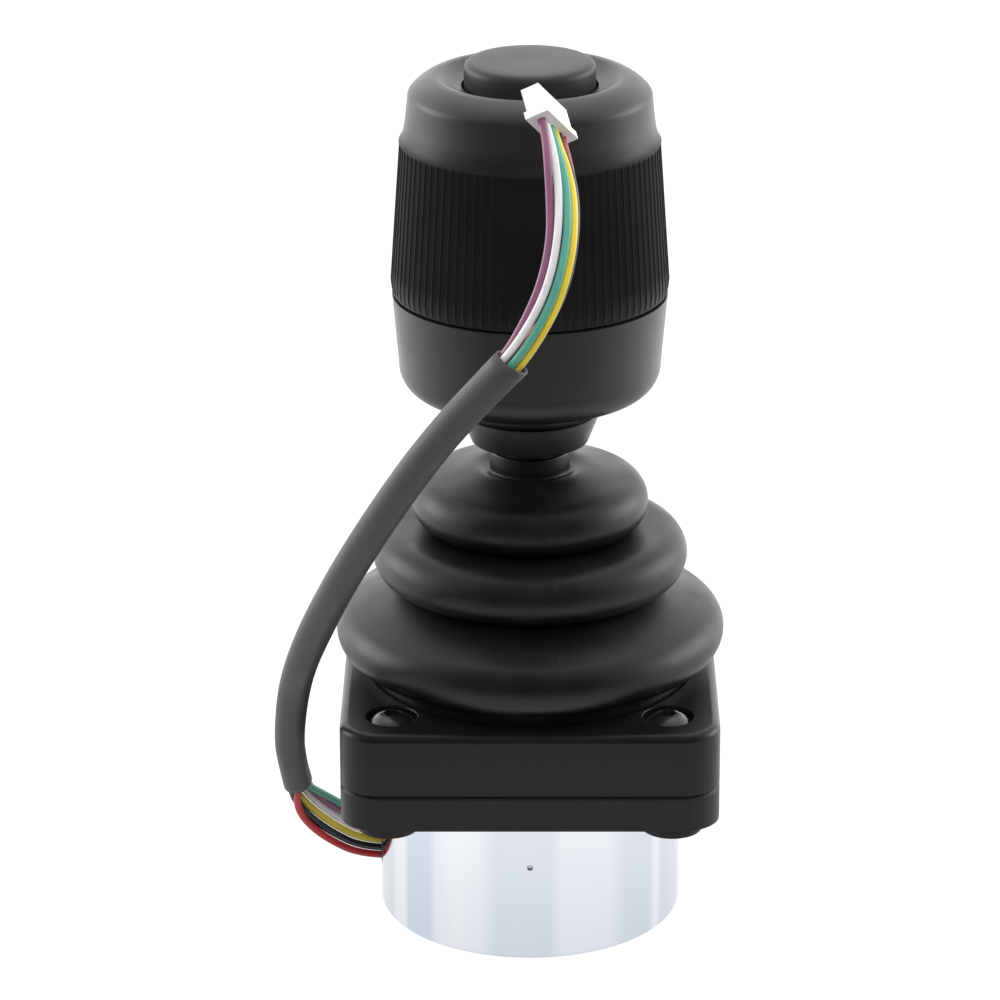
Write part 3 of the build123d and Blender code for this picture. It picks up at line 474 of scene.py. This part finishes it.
def turned(name, rings, closed):
    """Mesh from rings of points; a ring of one point is a pole."""
    vertices = []
    starts = []
    for ring in rings:
        starts.append((len(vertices), len(ring)))
        vertices += ring
    faces = []
    ends = starts[1:] + starts[:1] if closed else starts[1:]
    for (first, count), (second, other) in zip(starts, ends):
        for k in range(max(count, other)):
            a, b = first + k % count, first + (k + 1) % count
            c, d = second + (k + 1) % other, second + k % other
            if count == 1:
                faces.append((a, c, d))
            elif other == 1:
                faces.append((a, b, c))
            else:
                faces.append((a, b, c, d))
    mesh = smooth_mesh(name, vertices, faces)
    mesh.set_sharp_from_angle(angle=SHARP_ANGLE)
    return link(name, mesh)


def grip_ring(r, z, fluted):
    """One ring of the shell: grooves cut into it where the flutes run, rounded at their ends."""
    reach = min(z - FLUTE_FOOT, FLUTE_TOP - z) / FLUTE_END
    cut = math.sqrt(max(0.0, 1 - (1 - min(1.0, reach)) ** 2)) if fluted and reach > 0 else 0.0
    ring = []
    for k in range(RIBS):
        for along in FLUTE_PLACES:
            a = 2 * math.pi * (k + along) / RIBS
            out = (r - FLUTE_DEPTH * (1 - abs(2 * along) ** FLUTE_FLATNESS) * cut) / 1000
            ring.append(Vector((out * math.cos(a), out * math.sin(a), z / 1000)))
    return ring


def plain_ring(r, z):
    if r == 0.0:
        return [Vector((0.0, 0.0, z / 1000))]
    angles = [2 * math.pi * k / BUTTON_SIDES for k in range(BUTTON_SIDES)]
    return [Vector((r * math.cos(a), r * math.sin(a), z)) / 1000 for a in angles]


knob_shell = turned("knob_shell", [grip_ring(r, z, True) for r, z in GRIP_OUTSIDE]
                    + [grip_ring(r, z, False) for r, z in GRIP_INSIDE], True)
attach(knob_shell, "grip")
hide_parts("twist_grip")
button_cap = turned("button_cap", [plain_ring(r, z) for r, z in reversed(BUTTON_SECTION)], False)
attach(button_cap, "button")
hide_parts("push_button")

# Springs: copies of the part's own coils, standing as they are in the part; the joint bodies and end points listed
# with each are not used here
PIVOT_Z = 0.02795
WOUND = (
    ("tilt_coil_x", "return_spring_x", "gimbal", "base",
     (0.0153, 0.0, PIVOT_Z), (0.0202, 0.0, PIVOT_Z)),
    ("tilt_coil_y", "return_spring_y", "stick", "gimbal",
     (0.0, -0.0070, PIVOT_Z), (0.0, -0.0119, PIVOT_Z)),
    ("twist_coil", "twist_spring", "stick", "grip",
     (0.0, 0.0, 0.0925), (0.0, 0.0, 0.1100)),
)
coils = []
for name, node, first, second, start, end in WOUND:
    coil = link(name, nodes[node].data.copy())
    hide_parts(node)
    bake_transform(coil)
    coils.append(coil)
button_coil = link("button_coil", nodes["button_spring"].data.copy())
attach(button_coil, "grip")
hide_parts("button_spring")
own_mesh(button_coil)
coils.append(button_coil)

# Materials
NOISE_RANGE = (0.3, 0.7)


def shader_tree(name):
    material = bpy.data.materials.new(name)
    material.use_nodes = True
    tree = material.node_tree
    return material, tree, tree.nodes["Principled BSDF"]


def noise_node(tree, scale, detail, rough, stretch=None):
    place = tree.nodes.new("ShaderNodeTexCoord")
    texture = tree.nodes.new("ShaderNodeTexNoise")
    texture.inputs["Scale"].default_value = scale
    texture.inputs["Detail"].default_value = detail
    texture.inputs["Roughness"].default_value = rough
    if stretch:
        mapping = tree.nodes.new("ShaderNodeMapping")
        mapping.inputs["Scale"].default_value = stretch
        tree.links.new(place.outputs["Object"], mapping.inputs["Vector"])
        tree.links.new(mapping.outputs["Vector"], texture.inputs["Vector"])
    else:
        tree.links.new(place.outputs["Object"], texture.inputs["Vector"])
    return texture.outputs["Fac"]


def tone_ramp(tree, fac, stops):
    """Colour from a value, by pairs of place and tone."""
    ramp = tree.nodes.new("ShaderNodeValToRGB")
    elements = ramp.color_ramp.elements
    for i, (where, tone) in enumerate(stops):
        stop = elements[i] if i < 2 else elements.new(where)
        stop.position = where
        stop.color = (*tone, 1.0)
    tree.links.new(fac, ramp.inputs["Fac"])
    return ramp.outputs["Color"]


def multiplied(tree, first, second):
    mix = tree.nodes.new("ShaderNodeMix")
    mix.data_type = "RGBA"
    mix.blend_type = "MULTIPLY"
    mix.inputs["Factor"].default_value = 1.0
    tree.links.new(first, mix.inputs[6])
    tree.links.new(second, mix.inputs[7])
    return mix.outputs[2]


def map_range(tree, value, source, target, kind="SMOOTHSTEP"):
    """Node that turns one range of a value into another."""
    spread = tree.nodes.new("ShaderNodeMapRange")
    spread.interpolation_type = kind
    spread.inputs["From Min"].default_value = source[0]
    spread.inputs["From Max"].default_value = source[1]
    spread.inputs["To Min"].default_value = target[0]
    spread.inputs["To Max"].default_value = target[1]
    tree.links.new(value, spread.inputs["Value"])
    return spread


def vary_colour(tree, shader, fac, dark, light):
    colour = tone_ramp(tree, fac, [(NOISE_RANGE[0], dark), (NOISE_RANGE[1], light)])
    tree.links.new(colour, shader.inputs["Base Color"])


def vary_roughness(tree, shader, fac, rough):
    spread = map_range(tree, fac, NOISE_RANGE, rough, "LINEAR")
    tree.links.new(spread.outputs["Result"], shader.inputs["Roughness"])


def add_bump(tree, shader, height, distance):
    bump = tree.nodes.new("ShaderNodeBump")
    bump.inputs["Strength"].default_value = 1.0
    bump.inputs["Distance"].default_value = distance
    tree.links.new(height, bump.inputs["Height"])
    tree.links.new(bump.outputs["Normal"], shader.inputs["Normal"])


def moulded(name, dark, light, rough, grain, grain_depth, specular=0.5, cloud=90.0):
    """Moulded plastic or rubber: a fine grain, with slow changes of tone and sheen."""
    material, tree, shader = shader_tree(name)
    shader.inputs["Specular IOR Level"].default_value = specular
    slow = noise_node(tree, cloud, 4.0, 0.55)
    vary_colour(tree, shader, slow, dark, light)
    vary_roughness(tree, shader, slow, rough)
    fine = noise_node(tree, grain, 2.0, 0.6)
    add_bump(tree, shader, fine, grain_depth)
    return material


def metal(name, dark, light, rough, scale, depth, stretch=(1.0, 1.0, 1.0)):
    """Bare metal with the marks of how it was made, along the stretch's slow axis."""
    material, tree, shader = shader_tree(name)
    shader.inputs["Metallic"].default_value = 1.0
    marks = noise_node(tree, scale, 3.0, 0.6, stretch)
    slow = noise_node(tree, 60.0, 3.0, 0.5)
    vary_colour(tree, shader, marks, dark, light)
    vary_roughness(tree, shader, slow, rough)
    add_bump(tree, shader, marks, depth)
    return material


def grey(value):
    return (value, value, value)


# The can's painted reflections: tones round its wall, as shares of a turn, stand in for the floor's shadows
# mirrored in it, and a painted shade up from its foot, as shares of its height, darkens it towards the foot
BRIGHT = (0.95, 0.965, 0.985)
PALE = (0.89, 0.92, 0.965)
REFLECTED_SHADOW_TONE = (0.775, 0.815, 0.865)
BLUE = (0.715, 0.785, 0.885)
CAN_PAINTED_REFLECTION_BANDS = [
    (0.0, REFLECTED_SHADOW_TONE), (0.066, REFLECTED_SHADOW_TONE), (0.076, BRIGHT), (0.094, BRIGHT), (0.101, BLUE), (0.134, BLUE),
    (0.144, PALE), (0.17, BRIGHT), (0.198, PALE), (0.214, REFLECTED_SHADOW_TONE), (0.271, REFLECTED_SHADOW_TONE), (0.284, PALE),
    (0.338, PALE), (0.358, REFLECTED_SHADOW_TONE), (0.397, REFLECTED_SHADOW_TONE), (0.403, BRIGHT), (0.410, BRIGHT), (0.418, REFLECTED_SHADOW_TONE),
    (0.5, REFLECTED_SHADOW_TONE), (0.54, PALE), (0.62, REFLECTED_SHADOW_TONE), (0.70, PALE), (0.78, BLUE), (0.84, PALE), (0.92, REFLECTED_SHADOW_TONE),
]
# Painted shade: the can's colour grows darker towards its foot, where it mirrors its own shadow
CAN_PAINTED_FOOT_SHADE = [(0.0, (0.62, 0.64, 0.68)), (0.03, (0.81, 0.825, 0.85)), (1.0, (1.0, 1.0, 1.0))]
RISE_PER_METRE = 40.0


def metal_with_painted_reflections(name):
    """Bright drawn metal with soft upright bands of painted reflection round it, and painted shade that darkens it
    towards its foot.
    """
    material, tree, shader = shader_tree(name)
    shader.inputs["Metallic"].default_value = 1.0
    place = tree.nodes.new("ShaderNodeTexCoord")
    turn = tree.nodes.new("ShaderNodeTexGradient")
    turn.gradient_type = "RADIAL"
    tree.links.new(place.outputs["Object"], turn.inputs["Vector"])
    painted_reflection_bands = tone_ramp(tree, turn.outputs["Fac"], CAN_PAINTED_REFLECTION_BANDS)
    split = tree.nodes.new("ShaderNodeSeparateXYZ")
    tree.links.new(place.outputs["Object"], split.inputs["Vector"])
    scale = tree.nodes.new("ShaderNodeMath")
    scale.operation = "MULTIPLY"
    scale.inputs[1].default_value = RISE_PER_METRE
    tree.links.new(split.outputs["Z"], scale.inputs[0])
    rise = tone_ramp(tree, scale.outputs[0], CAN_PAINTED_FOOT_SHADE)
    tree.links.new(multiplied(tree, painted_reflection_bands, rise), shader.inputs["Base Color"])
    slow = noise_node(tree, 60.0, 3.0, 0.5)
    vary_roughness(tree, shader, slow, (0.10, 0.16))
    marks = noise_node(tree, 70.0, 3.0, 0.6, (1.0, 1.0, 0.03))
    add_bump(tree, shader, marks, 0.000004)
    return material


# Heights where the knob's sheen and tone change, in metres
RIBS_FROM = (0.1050, 0.1056)
RIBS_TO = (0.1292, 0.1298)
TOP_FROM = (0.1368, 0.1374)
# Painted highlight: a lighter band of base colour round the outer edge of the knob's top
EDGE_PAINTED_HIGHLIGHT = [(0.1371, 1.0), (0.1375, 1.9), (0.1383, 1.35), (0.1392, 1.0)]
RIB_TONE = 0.78
RIB_SHEEN = 0.02
TOP_SHEEN = 0.95


def height_ramp(tree, stops):
    """Grey by the height above the can's foot, from pairs of height and value."""
    place = tree.nodes.new("ShaderNodeTexCoord")
    split = tree.nodes.new("ShaderNodeSeparateXYZ")
    tree.links.new(place.outputs["Object"], split.inputs["Vector"])
    return tone_ramp(tree, split.outputs["Z"], [(where, grey(tone)) for where, tone in stops])


def ribbed_stops(plain, ribs):
    return [(RIBS_FROM[0], plain), (RIBS_FROM[1], ribs), (RIBS_TO[0], ribs), (RIBS_TO[1], plain)]


def ribbed(name, dark, light, rough, grain, grain_depth, specular):
    """The knob's plastic: darker and dull on the band of ribs, and a painted highlight as a lighter band on the
    outer edge of its top.
    """
    material = moulded(name, dark, light, rough, grain, grain_depth, specular)
    tree = material.node_tree
    shader = tree.nodes["Principled BSDF"]
    tone = height_ramp(tree, ribbed_stops(1.0, RIB_TONE) + EDGE_PAINTED_HIGHLIGHT)
    top = [(TOP_FROM[0], specular), (TOP_FROM[1], TOP_SHEEN)]
    sheen = height_ramp(tree, ribbed_stops(specular, RIB_SHEEN) + top)
    colour = shader.inputs["Base Color"].links[0].from_socket
    tree.links.new(multiplied(tree, colour, tone), shader.inputs["Base Color"])
    tree.links.new(sheen, shader.inputs["Specular IOR Level"])
    return material


# Each look: dark and light tone, range of roughness, grain's scale and depth, sheen, clouds' scale
KNOB_LOOK = ((0.013, 0.0127, 0.013), (0.018, 0.0176, 0.018), (0.34, 0.42), 5200.0, 0.000012, 0.45)
grip_plastic_painted_edge = ribbed("grip_plastic_painted_edge", *KNOB_LOOK)
knob_plastic = moulded("knob_plastic", *KNOB_LOOK)
button_plastic = moulded("button_plastic", (0.020, 0.0196, 0.020), (0.026, 0.0256, 0.026), (0.40, 0.48),
                         5200.0, 0.000012, 0.40)
collar_plastic = moulded("collar_plastic", grey(0.010), grey(0.015), (0.34, 0.44), 4200.0, 0.000012)
bezel_plastic = moulded("bezel_plastic", grey(0.0065), grey(0.009), (0.26, 0.34), 3800.0, 0.000008, 0.30)
flange_plastic = moulded("flange_plastic", grey(0.008), grey(0.011), (0.32, 0.42), 3800.0, 0.000010, 0.30)
rubber = moulded("boot_rubber", grey(0.0040), (0.0070, 0.0069, 0.0070), (0.34, 0.46),
                 2600.0, 0.000016, 0.40, 140.0)
grommet_rubber = moulded("grommet_rubber", grey(0.015), grey(0.022), (0.5, 0.62), 2600.0, 0.00002)
screw_black = moulded("screw_black", grey(0.010), grey(0.018), (0.16, 0.28), 1800.0, 0.00001, 0.7, 300.0)
sleeve_plastic = moulded("sleeve_plastic", (0.050, 0.048, 0.049), (0.068, 0.065, 0.066), (0.44, 0.58),
                         1500.0, 0.00003)
connector_nylon = moulded("connector_nylon", (0.88, 0.87, 0.88), (0.93, 0.92, 0.93), (0.34, 0.46),
                          2400.0, 0.00001)
chip_black = moulded("chip_black", grey(0.02), grey(0.03), (0.45, 0.55), 3000.0, 0.00001)
board_green = moulded("board_green", (0.015, 0.10, 0.045), (0.025, 0.15, 0.065), (0.25, 0.35),
                      2500.0, 0.00001)

# Each metal: dark and light tone, range of roughness, marks' scale and depth
can_metal_painted_reflections = metal_with_painted_reflections("can_metal_painted_reflections")
steel = metal("steel", grey(0.50), grey(0.62), (0.22, 0.32), 2500.0, 0.000004, (0.05, 0.05, 1.0))
spring_steel = metal("spring_steel", grey(0.40), grey(0.52), (0.25, 0.36), 1500.0, 0.000005)
alloy = metal("alloy", grey(0.52), grey(0.62), (0.36, 0.48), 900.0, 0.00002)
bronze = metal("bronze", (0.42, 0.27, 0.13), (0.54, 0.36, 0.18), (0.35, 0.5), 1800.0, 0.00001)
nickel = metal("nickel", grey(0.55), grey(0.68), (0.18, 0.26), 700.0, 0.000004)

WIRE_COLOURS = {
    "purple": (0.27, 0.105, 0.175),
    "white": (0.84, 0.82, 0.84),
    "green": (0.11, 0.40, 0.30),
    "yellow": (0.86, 0.66, 0.07),
    "black": (0.016, 0.017, 0.024),
    "red": (0.66, 0.032, 0.040),
}
DARKER = 0.88


def insulation(name, colour):
    dark = tuple(c * DARKER for c in colour)
    return moulded(name, dark, colour, (0.30, 0.42), 1200.0, 0.000012, 0.5, 260.0)


for colour, piece in wire_pieces.items():
    piece.data.materials.append(insulation("wire_" + colour, WIRE_COLOURS[colour]))
sleeve.data.materials.append(sleeve_plastic)
dimple.data.materials.append(steel)
for coil in coils:
    coil.data.materials.clear()
    coil.data.materials.append(spring_steel)
knob_shell.data.materials.append(grip_plastic_painted_edge)
button_cap.data.materials.append(button_plastic)
boot_lower.data.materials.append(rubber)
boot_upper.data.materials.append(rubber)

NODES_OF = (
    (can_metal_painted_reflections, ("can_housing",)),
    (flange_plastic, ("mounting_flange",)),
    (bezel_plastic, ("bezel",)),
    (screw_black, ("bezel_screws",)),
    (rubber, ("boot",)),
    (grommet_rubber, ("cable_grommet",)),
    (sleeve_plastic, ("cable_sleeve",)),
    (connector_nylon, ("connector_housing",)),
    (collar_plastic, ("knob_collar",)),
    (knob_plastic, ("knob_base",)),
    (grip_plastic_painted_edge, ("twist_grip",)),
    (button_plastic, ("push_button",)),
    (steel, ("shaft", "shaft_nut", "ring_pins", "block_pins", "hub_clip", "button_clip")),
    (spring_steel, ("return_spring_x", "return_spring_y", "twist_spring", "button_spring")),
    (alloy, ("gimbal_housing", "gimbal_ring", "pivot_block")),
    (bronze, ("housing_bushes", "ring_bushes", "grip_bush")),
    (nickel, ("stick_magnet", "twist_magnet")),
    (board_green, ("sensor_board", "twist_board", "switch_board")),
    (chip_black, ("hall_sensor", "twist_sensor", "switch_body", "switch_plunger", "magnet_holder", "board_spacer")),
)
node_materials = {name: material for material, names in NODES_OF for name in names}
for colour, piece in wire_pieces.items():
    node_materials["wire_" + colour] = piece.data.materials[0]
for name, obj in nodes.items():
    obj.data.materials.clear()
    obj.data.materials.append(node_materials[name])

# Floor: white to the eye; in reflections bright round the part, and further off dim in front
FLOOR_REACH = 4
FLOOR_DROP = 0.0002
FLOOR_GREY = 0.30
SEEN_GREY = 0.14
SEEN_GLOW = 0.93
NEAR_GLOW = 1.0
NEAR_TO_FAR = (0.10, 0.24)
FRONT_TO_BACK = (-1.15, 0.60)
FAR_GLOW = (0.16, 1.80)


def mixed(tree, share, first, second):
    """The first shader, or the second where the share is one."""
    mix = tree.nodes.new("ShaderNodeMixShader")
    tree.links.new(share, mix.inputs["Fac"])
    tree.links.new(first, mix.inputs[1])
    tree.links.new(second, mix.inputs[2])
    return mix.outputs[0]


def diffuse(tree, value):
    shader = tree.nodes.new("ShaderNodeBsdfDiffuse")
    shader.inputs["Color"].default_value = (*grey(value), 1.0)
    return shader.outputs[0]


def floor_glow(tree):
    """Strength of the floor in reflections, by distance and direction from the part."""
    place = tree.nodes.new("ShaderNodeTexCoord")
    reach = tree.nodes.new("ShaderNodeVectorMath")
    reach.operation = "LENGTH"
    tree.links.new(place.outputs["Object"], reach.inputs[0])
    aim = tree.nodes.new("ShaderNodeVectorMath")
    aim.operation = "NORMALIZE"
    tree.links.new(place.outputs["Object"], aim.inputs[0])
    split = tree.nodes.new("ShaderNodeSeparateXYZ")
    tree.links.new(aim.outputs["Vector"], split.inputs["Vector"])
    far = map_range(tree, split.outputs["Y"], FRONT_TO_BACK, FAR_GLOW)
    fade = map_range(tree, reach.outputs["Value"], NEAR_TO_FAR, (NEAR_GLOW, 0.0))
    tree.links.new(far.outputs["Result"], fade.inputs["To Max"])
    return fade.outputs["Result"]


def floor_white():
    material = bpy.data.materials.new("floor_white")
    material.use_nodes = True
    tree = material.node_tree
    tree.nodes.clear()
    output = tree.nodes.new("ShaderNodeOutputMaterial")
    path = tree.nodes.new("ShaderNodeLightPath")
    glow = tree.nodes.new("ShaderNodeEmission")
    tree.links.new(floor_glow(tree), glow.inputs["Strength"])
    even = tree.nodes.new("ShaderNodeEmission")
    even.inputs["Strength"].default_value = SEEN_GLOW
    white = tree.nodes.new("ShaderNodeAddShader")
    tree.links.new(diffuse(tree, SEEN_GREY), white.inputs[0])
    tree.links.new(even.outputs[0], white.inputs[1])
    reflected = mixed(tree, path.outputs["Is Glossy Ray"], diffuse(tree, FLOOR_GREY), glow.outputs[0])
    seen = mixed(tree, path.outputs["Is Camera Ray"], reflected, white.outputs[0])
    tree.links.new(seen, output.inputs["Surface"])
    return material


floor_mesh = bpy.data.meshes.new("floor")
corners = [(x * FLOOR_REACH, y * FLOOR_REACH, 0) for x, y in ((-1, -1), (1, -1), (1, 1), (-1, 1))]
floor_mesh.from_pydata(corners, [], [(0, 1, 2, 3)])
floor = link("floor", floor_mesh)
floor.location.z = -FLOOR_DROP
floor.data.materials.append(floor_white())

# World: a room that is bright low at the back and sides, and dim in front and overhead
ROOM_DEPTH = (-0.75, 0.25)
ROOM_GLOW = (0.12, 2.2)
ROOM_RISE = (0.30, 0.90)
RISE_SHARE = (1.0, 0.55)


def room_world():
    world = bpy.data.worlds.new("room")
    world.use_nodes = True
    tree = world.node_tree
    tree.nodes.clear()
    output = tree.nodes.new("ShaderNodeOutputWorld")
    place = tree.nodes.new("ShaderNodeTexCoord")
    split = tree.nodes.new("ShaderNodeSeparateXYZ")
    tree.links.new(place.outputs["Generated"], split.inputs["Vector"])
    depth = map_range(tree, split.outputs["Y"], ROOM_DEPTH, ROOM_GLOW)
    above = map_range(tree, split.outputs["Z"], ROOM_RISE, RISE_SHARE)
    strength = tree.nodes.new("ShaderNodeMath")
    strength.operation = "MULTIPLY"
    tree.links.new(depth.outputs["Result"], strength.inputs[0])
    tree.links.new(above.outputs["Result"], strength.inputs[1])
    room = tree.nodes.new("ShaderNodeBackground")
    tree.links.new(strength.outputs[0], room.inputs["Strength"])
    white = tree.nodes.new("ShaderNodeBackground")
    path = tree.nodes.new("ShaderNodeLightPath")
    seen = mixed(tree, path.outputs["Is Camera Ray"], room.outputs[0], white.outputs[0])
    tree.links.new(seen, output.inputs["Surface"])
    return world


scene.world = room_world()

# Lamps: soft boxes above and to both sides, and a fill from the front that is kept out of reflections
LAMP_TARGET = Vector((0.0, 0.0, 0.08))


def softbox(name, place, width, height, power):
    data = bpy.data.lights.new(name, "AREA")
    data.shape = "RECTANGLE"
    data.size = width
    data.size_y = height
    data.energy = power
    lamp = link(name, data)
    lamp.location = place
    lamp.rotation_euler = (LAMP_TARGET - Vector(place)).to_track_quat("-Z", "Y").to_euler()
    return lamp


fill = softbox("front_fill", (0.0, -0.9, 1.0), 1.2, 0.8, 11.0)
fill.visible_glossy = False
softbox("top_light", (0.0, 0.25, 1.0), 0.8, 0.5, 0.8)
softbox("left_light", (-0.9, 0.30, 0.30), 0.6, 0.5, 3.0)
softbox("right_light", (0.9, 0.30, 0.30), 0.6, 0.5, 3.0)
